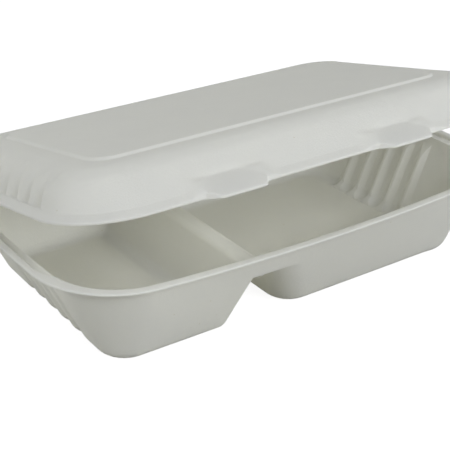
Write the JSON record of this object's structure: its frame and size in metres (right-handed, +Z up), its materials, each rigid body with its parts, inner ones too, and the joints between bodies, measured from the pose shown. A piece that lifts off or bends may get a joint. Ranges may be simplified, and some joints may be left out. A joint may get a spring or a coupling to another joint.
{
  "type": "moulded-fibre meal box",
  "caption": "Shallow oblong moulded-fibre meal box with a divided tray, ribbed ends and a hinged lid, standing ajar, with tongue-like front tabs under pressed recesses.",
  "frame": {"origin": "on the flat underside of the tray, at the middle of the box's length and width", "axes": "+X along the box's length to the right seen from the front, +Y to the hinge at the back, +Z up"},
  "size_m": [0.25, 0.1655, 0.09],
  "materials": {
    "tray_fibre": "matt pressed plant fibre, off-white and faintly warm, with fine fibre flecks",
    "lid_fibre": "matt pressed plant fibre, off-white, with a fine felt grain on the raised panel"
  },
  "bodies": {
    "tray": {"tray": "tray_fibre"},
    "lid": {"lid": "lid_fibre"}
  },
  "joints": [
    {"name": "lid_hinge", "type": "hinge", "parent": "tray", "child": "lid", "pos_m": [0, 0.0815, 0.04482], "axis": [-1, 0, 0], "range_deg": [-11.8, 168.2]}
  ]
}
